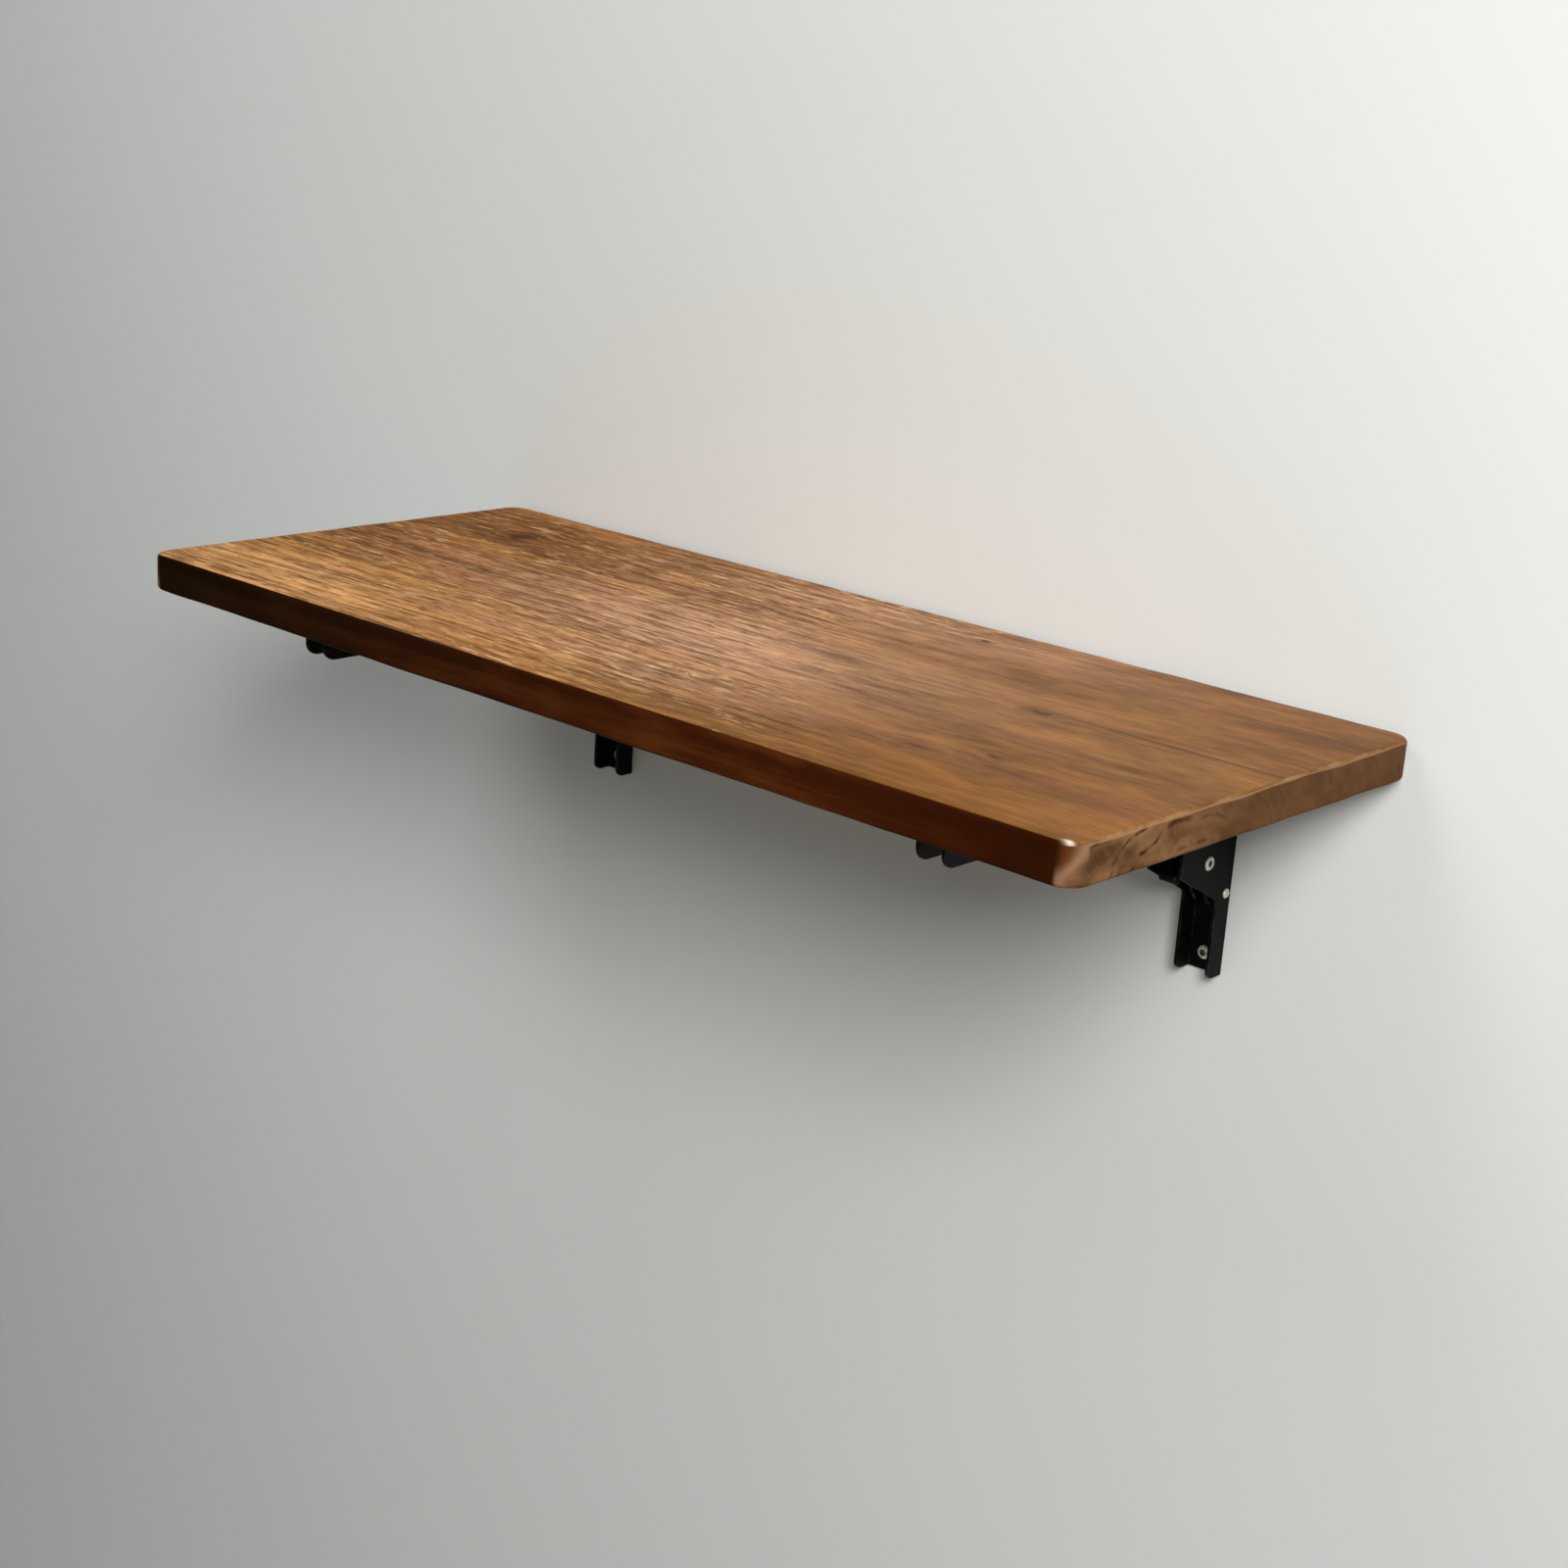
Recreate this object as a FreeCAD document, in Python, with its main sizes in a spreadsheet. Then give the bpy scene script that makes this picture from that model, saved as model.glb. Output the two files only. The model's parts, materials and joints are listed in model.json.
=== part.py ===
import FreeCAD, Part
import math
import os
import re

import Sketcher
from FreeCAD import Placement, Rotation, Vector

# Wall mounted drop leaf table, in millimetres.
# The origin is the middle of the four wall screws, on the wall's surface.
# +X runs along the wall, +Y goes into the wall and +Z is up.

SIZES = {
    # The leaf
    "leaf_length": 800.0,
    "leaf_depth": 343.0,
    "leaf_thickness": 25.5,
    "leaf_corner_radius": 15.0,
    "leaf_edge_radius": 3.0,
    "leaf_height": 82.0,
    "wall_gap": 3.0,
    # The wall channels and their ears
    "bracket_inset": 128.0,
    "sheet_thickness": 2.0,
    "bend_radius": 1.6,
    "channel_width": 26.0,
    "channel_foot": 80.0,
    "flange_depth": 17.0,
    "foot_radius": 6.0,
    "ear_root_drop": 26.0,
    "ear_root_radius": 5.0,
    "ear_tip_drop": 2.0,
    "ear_tip_radius": 6.0,
    "ear_radius": 32.0,
    # The fold hinge
    "pivot_reach": 30.0,
    "pivot_drop": 35.0,
    "pivot_diameter": 8.0,
    "pivot_head_diameter": 13.0,
    "pivot_bore": 5.0,
    "rivet_head_height": 1.4,
    "rivet_flare": 0.8,
    "rivet_flare_depth": 1.4,
    "washer_thickness": 0.6,
    "washer_diameter": 15.0,
    "side_clearance": 0.1,
    "running_clearance": 0.05,
    # The support arms
    "arm_reach": 300.0,
    "arm_flange_depth": 30.0,
    "arm_lobe_radius": 18.0,
    "arm_front_radius": 9.0,
    "arm_notch_radius": 5.0,
    "latch_pin_drop": 11.0,
    "latch_pin_diameter": 5.0,
    # The release levers
    "lever_reach": 31.0,
    "lever_height": 2.0,
    "lever_width": 12.0,
    "lever_hub_radius": 6.0,
    "lever_limb_radius": 3.4,
    "lever_nose_gap": 1.0,
    "lever_rivet_diameter": 5.0,
    "lever_rivet_head_diameter": 9.2,
    "lever_rivet_bore": 3.2,
    "lever_spacer_diameter": 7.0,
    "finger_reach": 54.0,
    "finger_drop": 6.0,
    "finger_pad_length": 12.0,
    "tail_reach": 12.0,
    "tail_drop": 28.0,
    "stop_pin_reach": 7.0,
    "stop_pin_drop": 23.0,
    "stop_pin_diameter": 5.0,
    "stop_pin_head_diameter": 6.4,
    # The torsion springs
    "spring_wire": 1.0,
    "spring_coil_radius": 4.0,
    "spring_pitch": 1.6,
    "spring_turns": 4.0,
    "spring_leg_angle": 40.0,
    "spring_seat_gap": 0.1,
    # The screws
    "screw_spacing": 136.0,
    "screw_clearance": 0.3,
    "pilot_clearance": 0.05,
    "socket_flats": 4.4,
    "socket_depth": 1.7,
    "wall_screw_diameter": 4.5,
    "wall_screw_neck_diameter": 5.0,
    "wall_screw_length": 42.0,
    "wall_screw_tip": 6.0,
    "wall_screw_head_diameter": 9.0,
    "wall_screw_head_height": 2.8,
    "arm_screw_diameter": 4.0,
    "arm_screw_neck_diameter": 4.4,
    "arm_screw_length": 20.0,
    "arm_screw_tip": 5.0,
    "arm_screw_head_diameter": 8.0,
    "arm_screw_head_height": 2.4,
    "arm_screw_first": 130.0,
    "arm_screw_inset": 30.0,
}
ARM_SCREWS_PER_ARM = 3
# Two whole quarter circles would leave no edge between them at the bottom of an arm's lobe.
LOBE_SHARE = 0.999
# How near a vertex lies to the spot that names its edge
SAME_SPOT = 0.01
GAP_SAMPLES = 240
SIDES = {"left": -1, "right": 1}

# Places that several pieces share, as (y, z)
PIVOT = ("-pivot_reach", "leaf_height - pivot_drop")
LEVER = ("-lever_reach", "lever_height")
STOP = ("-stop_pin_reach", "-stop_pin_drop")
LATCH = ("-pivot_reach", "leaf_height - pivot_drop - latch_pin_drop")
FINGER = ("-finger_reach", "-finger_drop")
TAIL = ("-tail_reach", "-tail_drop")
NOSE = (
    "-pivot_reach",
    "leaf_height - pivot_drop - latch_pin_drop - latch_pin_diameter / 2 - lever_nose_gap - lever_limb_radius",
)
ARM_WIDTH = "channel_width - 2 * (sheet_thickness + washer_thickness + 2 * side_clearance)"
INNER_WIDTH = "channel_width - 2 * sheet_thickness"
ON_AXIS = "0"

doc = FreeCAD.newDocument("drop_leaf_table")
sheet = doc.addObject("Spreadsheet::Sheet", "Sizes")
for row, (alias, value) in enumerate(SIZES.items(), start=1):
    sheet.set(f"A{row}", alias)
    sheet.set(f"B{row}", str(value))
    sheet.setAlias(f"B{row}", alias)
doc.recompute()

nodes = []


def formula(text):
    """Names the sheet's cells in an expression."""

    def cell(word):
        return "Sizes." + word.group(0) if word.group(0) in SIZES else word.group(0)

    return re.sub(r"[a-z_]+", cell, text)


def number(text):
    """The value that an expression has now."""
    return float(sheet.evalExpression(formula(text)))


def node(piece, label):
    """Names a finished piece, which is written out under that name."""
    piece.Label = label
    nodes.append(piece)
    return piece


def place(piece, x="0", y="0", z="0"):
    """Ties the place of a piece to the sheet."""
    for axis, text in zip("xyz", (x, y, z)):
        piece.setExpression(f"Placement.Base.{axis}", formula(text))


def side_x(sign):
    """The middle of one bracket along the wall."""
    return f"{sign} * (leaf_length / 2 - bracket_inset)"


def new_body(name):
    return doc.addObject("PartDesign::Body", name)


def new_sketch(body, name, role):
    """An empty sketch on one of the body's own origin planes."""
    sketch = body.newObject("Sketcher::SketchObject", name)
    plane = [item for item in body.Origin.OriginFeatures if item.Role == role][0]
    sketch.AttachmentSupport = (plane, [""])
    sketch.MapMode = "FlatFace"
    return sketch


def fix_point(sketch, geometry, point, label, spot):
    """Ties a point of a sketch to a pair of expressions."""
    for axis, text in zip("XY", spot):
        rule = Sketcher.Constraint(f"Distance{axis}", geometry, point, number(text))
        row = sketch.addConstraint(rule)
        sketch.renameConstraint(row, f"{label}_{axis}")
        sketch.setExpression(f"Constraints.{label}_{axis}", formula(text))


def polygon(body, name, role, corners):
    """A closed outline whose corners are tied to the sheet."""
    sketch = new_sketch(body, name, role)
    spots = [Vector(number(across), number(up), 0) for across, up in corners]
    for start, end in zip(spots, spots[1:] + spots[:1]):
        sketch.addGeometry(Part.LineSegment(start, end))
    for index, corner in enumerate(corners):
        following = (index + 1) % len(corners)
        sketch.addConstraint(Sketcher.Constraint("Coincident", index, 2, following, 1))
        fix_point(sketch, index, 1, f"corner_{index}", corner)
    return sketch


def circles(body, name, role, centres, radius):
    """Circles of one radius, tied to the sheet."""
    sketch = new_sketch(body, name, role)
    for index, centre in enumerate(centres):
        spot = Vector(number(centre[0]), number(centre[1]), 0)
        sketch.addGeometry(Part.Circle(spot, Vector(0, 0, 1), number(radius)))
        fix_point(sketch, index, 3, f"centre_{index}", centre)
        row = sketch.addConstraint(Sketcher.Constraint("Radius", index, number(radius)))
        sketch.renameConstraint(row, f"radius_{index}")
        sketch.setExpression(f"Constraints.radius_{index}", formula(radius))
    return sketch


def extrude(body, kind, sketch, length, symmetric=True, flipped=False):
    """A Pad or a Pocket of a sketch."""
    feature = body.newObject(f"PartDesign::{kind}", f"{sketch.Name}_{kind}")
    feature.Profile = sketch
    feature.SideType = "Symmetric" if symmetric else "One side"
    feature.Reversed = flipped
    feature.setExpression("Length", formula(length))
    doc.recompute()
    return feature


def pad(body, sketch, length):
    return extrude(body, "Pad", sketch, length)


def pocket(body, sketch, length, symmetric=True, flipped=False):
    """A Pocket that is known to have taken something away."""
    before = body.Shape.Volume
    feature = extrude(body, "Pocket", sketch, length, symmetric, flipped)
    if body.Shape.Volume >= before:
        raise RuntimeError(f"{feature.Name} cuts nothing")
    return feature


def edges_along(shape, axis, spots):
    """Names of the straight edges along an axis that pass through given spots of the other two axes."""
    others = [index for index in range(3) if index != axis]
    found = []
    for index, edge in enumerate(shape.Edges, start=1):
        ends = [vertex.Point for vertex in edge.Vertexes]
        if len(ends) < 2:
            continue
        for spot in spots:
            misses = [abs(end[other] - value) for end in ends for other, value in zip(others, spot)]
            if max(misses) < SAME_SPOT:
                found.append(f"Edge{index}")
    return found


def fillet(body, name, edges, radius):
    """Rounds named edges of the body's newest feature."""
    if not edges:
        raise RuntimeError(f"{name} finds no edge")
    feature = body.newObject("PartDesign::Fillet", name)
    feature.Base = (feature.BaseFeature, edges)
    feature.setExpression("Radius", formula(radius))
    doc.recompute()
    return feature


def round_corner(body, name, corner, radius):
    """Rounds the edges along X at one (y, z) corner of an outline."""
    spot = (number(corner[0]), number(corner[1]))
    return fillet(body, name, edges_along(body.Tip.Shape, 0, [spot]), radius)


def turned(name, corners):
    """A piece turned about its own X axis, from (x, radius) corners."""
    body = new_body(name)
    sketch = polygon(body, f"{name}_section", "XY_Plane", corners)
    feature = body.newObject("PartDesign::Revolution", f"{name}_turning")
    feature.Profile = sketch
    feature.ReferenceAxis = (sketch, ["H_Axis"])
    feature.Angle = 360
    doc.recompute()
    return body


def group(label, pieces):
    """Separate solids that share one node."""
    together = doc.addObject("Part::Compound", label)
    together.Links = pieces
    return node(together, label)


# The leaf


def make_tabletop():
    body = new_body("tabletop")
    half = "leaf_length / 2"
    back = "-wall_gap"
    front = "-(wall_gap + leaf_depth)"
    corners = [(f"-{half}", front), (half, front), (half, back), (f"-{half}", back)]
    outline = polygon(body, "leaf_outline", "XY_Plane", corners)
    extrude(body, "Pad", outline, "leaf_thickness", symmetric=False)
    upright = edges_along(body.Tip.Shape, 2, [(number(across), number(along)) for across, along in corners])
    fillet(body, "leaf_corners", upright, "leaf_corner_radius")
    rims = []
    for index, edge in enumerate(body.Tip.Shape.Edges, start=1):
        if edge.BoundBox.ZLength < SAME_SPOT:
            rims.append(f"Edge{index}")
    fillet(body, "leaf_rims", rims, "leaf_edge_radius")
    spots = []
    for sign in SIDES.values():
        for index in range(ARM_SCREWS_PER_ARM):
            spots.append((side_x(sign), arm_screw_y(index)))
    pilots = circles(body, "leaf_pilots", "XY_Plane", spots, "arm_screw_diameter / 2 + pilot_clearance")
    depth = "arm_screw_length - sheet_thickness + pilot_clearance"
    pocket(body, pilots, depth, symmetric=False, flipped=True)
    place(body, z="leaf_height")
    node(body, "tabletop")


def arm_screw_y(index):
    """Places the screws evenly from the first one to the last, which stays near the arm's front end."""
    pitch = f"(arm_reach - arm_screw_inset - arm_screw_first) / {ARM_SCREWS_PER_ARM - 1}"
    return f"-(arm_screw_first + {index} * {pitch})"


# One wall channel: a sheet steel U whose flanges widen into ears


def make_wall_channel(side, sign):
    body = new_body(f"{side}_wall_channel")
    foot = "-channel_foot"
    ear_front = "-(pivot_reach + ear_radius)"
    ear_top = "leaf_height - pivot_drop + ear_radius"
    foot_corner = ("-flange_depth", foot)
    root_corner = ("-flange_depth", "-ear_root_drop")
    tip_corner = (ear_front, "-ear_tip_drop")
    top_corner = (ear_front, ear_top)
    corners = [("0", foot), foot_corner, root_corner, tip_corner, top_corner, ("0", ear_top)]
    pad(body, polygon(body, f"{side}_channel_side", "YZ_Plane", corners), "channel_width")
    beyond = "-(pivot_reach + 2 * ear_radius)"
    hollow = [
        ("-sheet_thickness", "-2 * channel_foot"),
        ("-sheet_thickness", "2 * leaf_height"),
        (beyond, "2 * leaf_height"),
        (beyond, "-2 * channel_foot"),
    ]
    pocket(body, polygon(body, f"{side}_channel_hollow", "YZ_Plane", hollow), INNER_WIDTH)
    round_corner(body, f"{side}_channel_foot", foot_corner, "foot_radius")
    round_corner(body, f"{side}_ear_root", root_corner, "ear_root_radius")
    round_corner(body, f"{side}_ear_tip", tip_corner, "ear_tip_radius")
    round_corner(body, f"{side}_ear_top", top_corner, "ear_radius")
    half = number("channel_width / 2")
    bends = edges_along(body.Tip.Shape, 2, [(-half, 0.0), (half, 0.0)])
    fillet(body, f"{side}_channel_bends", bends, "bend_radius")
    for hole, spot, diameter in (
        ("pivot", PIVOT, "pivot_diameter"),
        ("lever", LEVER, "lever_rivet_diameter"),
        ("stop", STOP, "stop_pin_diameter"),
    ):
        holes = circles(body, f"{side}_channel_{hole}_holes", "YZ_Plane", [spot], f"{diameter} / 2")
        pocket(body, holes, "2 * channel_width")
    screw_spots = [("0", f"{end} * screw_spacing / 2") for end in (-1, 1)]
    radius = "wall_screw_neck_diameter / 2 + screw_clearance"
    screw_holes = circles(body, f"{side}_channel_screw_holes", "XZ_Plane", screw_spots, radius)
    pocket(body, screw_holes, "4 * sheet_thickness")
    place(body, x=side_x(sign))
    node(body, f"{side}_wall_channel")


# One support arm: a sheet steel U, open downwards, with a round lobe at the pivot


def make_support_arm(side, sign):
    body = new_body(f"{side}_support_arm")
    underside = "leaf_height - arm_flange_depth"
    lobe_bottom = "leaf_height - pivot_drop - arm_lobe_radius"
    lobe_front = "-(pivot_reach + arm_lobe_radius)"
    lobe_rear = "-(pivot_reach - arm_lobe_radius)"
    front_corner = ("-arm_reach", underside)
    notch_corner = (lobe_front, underside)
    lobe_front_corner = (lobe_front, lobe_bottom)
    lobe_rear_corner = (lobe_rear, lobe_bottom)
    corners = [
        (lobe_rear, "leaf_height"),
        ("-arm_reach", "leaf_height"),
        front_corner,
        notch_corner,
        lobe_front_corner,
        lobe_rear_corner,
    ]
    pad(body, polygon(body, f"{side}_arm_side", "YZ_Plane", corners), ARM_WIDTH)
    below = "leaf_height - 2 * (pivot_drop + arm_lobe_radius)"
    ceiling = "leaf_height - sheet_thickness"
    hollow = [("0", ceiling), ("-2 * arm_reach", ceiling), ("-2 * arm_reach", below), ("0", below)]
    inside = polygon(body, f"{side}_arm_hollow", "YZ_Plane", hollow)
    pocket(body, inside, f"{ARM_WIDTH} - 2 * sheet_thickness")
    round_corner(body, f"{side}_arm_front", front_corner, "arm_front_radius")
    round_corner(body, f"{side}_arm_notch", notch_corner, "arm_notch_radius")
    lobe_spots = [(number(across), number(up)) for across, up in (lobe_front_corner, lobe_rear_corner)]
    lobe_rounding = f"{LOBE_SHARE} * arm_lobe_radius"
    fillet(body, f"{side}_arm_lobe", edges_along(body.Tip.Shape, 0, lobe_spots), lobe_rounding)
    half = number(ARM_WIDTH) / 2
    top = number("leaf_height")
    bends = edges_along(body.Tip.Shape, 1, [(-half, top), (half, top)])
    fillet(body, f"{side}_arm_bends", bends, "bend_radius")
    pivot_radius = "pivot_diameter / 2 + running_clearance"
    pivot_holes = circles(body, f"{side}_arm_pivot_holes", "YZ_Plane", [PIVOT], pivot_radius)
    pocket(body, pivot_holes, "2 * channel_width")
    latch_holes = circles(body, f"{side}_arm_latch_holes", "YZ_Plane", [LATCH], "latch_pin_diameter / 2")
    pocket(body, latch_holes, "2 * channel_width")
    screw_spots = [("0", arm_screw_y(index)) for index in range(ARM_SCREWS_PER_ARM)]
    screw_radius = "arm_screw_neck_diameter / 2 + screw_clearance"
    screw_holes = circles(body, f"{side}_arm_screw_holes", "XY_Plane", screw_spots, screw_radius)
    pocket(body, screw_holes, "leaf_height * 3")
    place(body, x=side_x(sign))
    node(body, f"{side}_support_arm")


# Turned pieces of one bracket


def headed_end(grip, shaft, head):
    """One end of a rivet or pin, from its shaft to the face of its low chamfered head."""
    half = f"({grip}) / 2"
    rim = f"{head} / 2"
    edge = (f"{half} + rivet_head_height / 2", rim)
    face = (f"{half} + rivet_head_height", f"{rim} - rivet_head_height / 2")
    return [(half, f"{shaft} / 2"), (half, rim), edge, face]


def both_ends(right):
    left = [(f"-({across})", up) for across, up in reversed(right)]
    return left + right


def rivet_corners(grip, shaft, head, bore):
    """Outline of a hollow rivet whose bore flares open at both heads."""
    inner = f"{bore} / 2"
    tall = f"({grip}) / 2 + rivet_head_height"
    mouth = [(tall, f"{inner} + rivet_flare"), (f"{tall} - rivet_flare_depth", inner)]
    return both_ends(headed_end(grip, shaft, head) + mouth)


def pin_corners(grip, shaft, head):
    """Outline of a solid pin with a head at each end."""
    tall = f"({grip}) / 2 + rivet_head_height"
    return both_ends(headed_end(grip, shaft, head) + [(tall, ON_AXIS)])


def ring_corners(start, end, inner, outer):
    return [(start, inner), (start, outer), (end, outer), (end, inner)]


def make_hinge(side, sign):
    grip = "channel_width"
    corners = rivet_corners(grip, "pivot_diameter", "pivot_head_diameter", "pivot_bore")
    rivet = turned(f"{side}_pivot_rivet", corners)
    place(rivet, side_x(sign), *PIVOT)
    node(rivet, f"{side}_pivot_rivet")
    start = f"({ARM_WIDTH}) / 2 + side_clearance"
    end = f"{start} + washer_thickness"
    inner = "pivot_diameter / 2 + running_clearance"
    washers = []
    for hand, flip in SIDES.items():
        corners = ring_corners(f"{flip} * ({start})", f"{flip} * ({end})", inner, "washer_diameter / 2")
        washer = turned(f"{side}_bracket_{hand}_washer", corners)
        place(washer, side_x(sign), *PIVOT)
        washers.append(washer)
    group(f"{side}_pivot_washers", washers)
    half = f"({ARM_WIDTH}) / 2"
    pin = turned(f"{side}_latch_pin", ring_corners(f"-{half}", half, ON_AXIS, "latch_pin_diameter / 2"))
    place(pin, side_x(sign), *LATCH)
    node(pin, f"{side}_latch_pin")


# One release lever with its rivet, spacers, stop and spring


def limb_corners(start, end, radius):
    """The straight part of a limb between two round ends."""
    run = f"({end[0]} - ({start[0]}))"
    rise = f"({end[1]} - ({start[1]}))"
    span = f"sqrt({run} * {run} + {rise} * {rise})"
    across = f"{radius} * {rise} / {span}"
    up = f"{radius} * {run} / {span}"
    return [
        (f"{start[0]} - {across}", f"{start[1]} + {up}"),
        (f"{start[0]} + {across}", f"{start[1]} - {up}"),
        (f"{end[0]} + {across}", f"{end[1]} - {up}"),
        (f"{end[0]} - {across}", f"{end[1]} + {up}"),
    ]


def make_lever(side, sign):
    body = new_body(f"{side}_release_lever")
    pad(body, circles(body, f"{side}_lever_hub", "YZ_Plane", [LEVER], "lever_hub_radius"), "lever_width")
    for limb, end in (("nose", NOSE), ("finger", FINGER), ("tail", TAIL)):
        corners = limb_corners(LEVER, end, "lever_limb_radius")
        pad(body, polygon(body, f"{side}_lever_{limb}", "YZ_Plane", corners), "lever_width")
        tip = circles(body, f"{side}_lever_{limb}_end", "YZ_Plane", [end], "lever_limb_radius")
        pad(body, tip, "lever_width")
    pad_start = "-(finger_reach - finger_pad_length)"
    below = "-2 * channel_foot"
    above = "2 * leaf_height"
    hollow = [(pad_start, below), ("0", below), ("0", above), (pad_start, above)]
    slot = polygon(body, f"{side}_lever_slot", "YZ_Plane", hollow)
    pocket(body, slot, "lever_width - 2 * sheet_thickness")
    bore = "lever_rivet_diameter / 2 + running_clearance"
    pocket(body, circles(body, f"{side}_lever_bore", "YZ_Plane", [LEVER], bore), "2 * lever_width")
    place(body, x=side_x(sign))
    node(body, f"{side}_release_lever")


def make_lever_fittings(side, sign):
    grip = "channel_width"
    corners = rivet_corners(grip, "lever_rivet_diameter", "lever_rivet_head_diameter", "lever_rivet_bore")
    rivet = turned(f"{side}_lever_rivet", corners)
    place(rivet, side_x(sign), *LEVER)
    node(rivet, f"{side}_lever_rivet")
    start = "lever_width / 2 + side_clearance"
    end = f"({INNER_WIDTH}) / 2 - side_clearance"
    inner = "lever_rivet_diameter / 2 + running_clearance"
    spacers = []
    for hand, flip in SIDES.items():
        ring = ring_corners(f"{flip} * ({start})", f"{flip} * ({end})", inner, "lever_spacer_diameter / 2")
        spacer = turned(f"{side}_bracket_{hand}_spacer", ring)
        place(spacer, side_x(sign), *LEVER)
        spacers.append(spacer)
    group(f"{side}_lever_spacers", spacers)
    stop = turned(f"{side}_stop_pin", pin_corners(grip, "stop_pin_diameter", "stop_pin_head_diameter"))
    place(stop, side_x(sign), *STOP)
    node(stop, f"{side}_stop_pin")


def arc_between(start, tangent, end):
    """The arc that leaves start along tangent and arrives at end."""
    chord = end - start
    along = Vector(chord).normalize()
    off = tangent - along * tangent.dot(along)
    half_turn = math.acos(max(-1.0, min(1.0, tangent.dot(along))))
    rise = chord.Length / 2 * math.tan(half_turn / 2)
    middle = start + chord * 0.5 + off.normalize() * rise
    return Part.Arc(start, middle, end).toShape()


def biarc(start, start_tangent, end, end_tangent):
    """Two arcs that meet smoothly between two points of a coil."""
    span = end - start
    both = start_tangent + end_tangent
    bend = 2 * (1 - start_tangent.dot(end_tangent))
    lead = span.dot(both)
    reach = (math.sqrt(lead * lead + bend * span.dot(span)) - lead) / bend
    middle = (start + end + (start_tangent - end_tangent) * reach) * 0.5
    turn_back = arc_between(end, end_tangent * -1, middle)
    return [arc_between(start, start_tangent, middle), turn_back]


def make_spring(side, sign):
    """A torsion spring round the lever's rivet: one leg on the wall channel, one on the finger pad."""
    wire = number("spring_wire")
    coil = number("spring_coil_radius")
    pitch = number("spring_pitch")
    turns = number("spring_turns")
    leg_angle = math.radians(number("spring_leg_angle"))
    finger_run = number(f"{FINGER[0]} - ({LEVER[0]})")
    finger_rise = number(f"{FINGER[1]} - ({LEVER[1]})")
    first = math.pi / 2 + leg_angle
    last = math.atan2(-finger_run, finger_rise) + 2 * math.pi * turns
    climb = pitch / (2 * math.pi)
    width = (last - first) * climb

    def at(angle):
        across = (angle - first) * climb - width / 2
        return Vector(across, coil * math.cos(angle), coil * math.sin(angle))

    def heading(angle):
        # The legs lie square to the rivet, so the climb eases off at both ends.
        drift = climb if first < angle < last else 0.0
        return Vector(drift, -coil * math.sin(angle), coil * math.cos(angle)).normalize()

    lever_y = number(LEVER[0])
    back_run = -number("sheet_thickness") - number("spring_seat_gap") - wire / 2 - lever_y - at(first).y
    back_leg = at(first) - heading(first) * (back_run / -heading(first).y)
    pad_middle = number("finger_reach - finger_pad_length / 2") + lever_y
    front_leg = at(last) + heading(last) * ((-pad_middle - at(last).y) / heading(last).y)
    steps = math.ceil((last - first) / (math.pi / 2))
    angles = [first + (last - first) * step / steps for step in range(steps + 1)]
    edges = [Part.LineSegment(back_leg, at(first)).toShape()]
    for start, end in zip(angles, angles[1:]):
        edges.extend(biarc(at(start), heading(start), at(end), heading(end)))
    edges.append(Part.LineSegment(at(last), front_leg).toShape())
    path = Part.Wire(Part.__sortEdges__(edges))
    section = Part.Wire(Part.Circle(back_leg, heading(first), wire / 2).toShape())
    pipe = Part.BRepOffsetAPI.MakePipeShell(path)
    pipe.add(section)
    pipe.build()
    pipe.makeSolid()
    spring = doc.addObject("Part::Feature", f"{side}_lever_spring")
    spring.Shape = pipe.shape()
    spring.Placement = Placement(Vector(number(side_x(sign)), lever_y, number(LEVER[1])), Rotation())
    node(spring, f"{side}_lever_spring")
    expected = math.pi * wire * wire / 4 * path.Length
    print(f"{side} spring volume is {spring.Shape.Volume / expected:.4f} of section times length")
    print(f"{side} spring least gap to itself {coil_gap(at, first, last, wire):.3f} mm")


def coil_gap(at, first, last, wire):
    """The least free space between neighbouring turns, measured on points."""
    spots = [first + (last - first) * index / GAP_SAMPLES for index in range(GAP_SAMPLES + 1)]
    least = math.inf
    for here in spots:
        for there in spots:
            if there - here > math.pi:
                least = min(least, (at(there) - at(here)).Length)
    return least - wire


# Screws


def screw(name, kind):
    """A pan head screw along its own X axis, with a hexagon socket and a plain neck through the sheet."""
    head_height = f"{kind}_head_height"
    head_radius = f"{kind}_head_diameter / 2"
    neck = f"{kind}_neck_diameter / 2"
    shank = f"{kind}_diameter / 2"
    corners = [
        (f"-{head_height}", ON_AXIS),
        (f"-{head_height}", f"{head_radius} - {head_height} / 2"),
        (f"-{head_height} / 2", head_radius),
        ("0", head_radius),
        ("0", neck),
        ("sheet_thickness", neck),
        ("sheet_thickness", shank),
        (f"{kind}_length - {kind}_tip", shank),
        (f"{kind}_length", ON_AXIS),
    ]
    body = turned(name, corners)
    corner = "socket_flats / sqrt(3)"
    upper = [(corner, ON_AXIS), (f"{corner} / 2", "socket_flats / 2"), (f"-{corner} / 2", "socket_flats / 2")]
    lower = [(f"-({across})", f"-({up})") for across, up in upper]
    socket = polygon(body, f"{name}_socket", "YZ_Plane", upper + lower)
    socket.setExpression("AttachmentOffset.Base.z", formula(f"-{head_height}"))
    pocket(body, socket, "socket_depth", symmetric=False, flipped=True)
    return body


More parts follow.
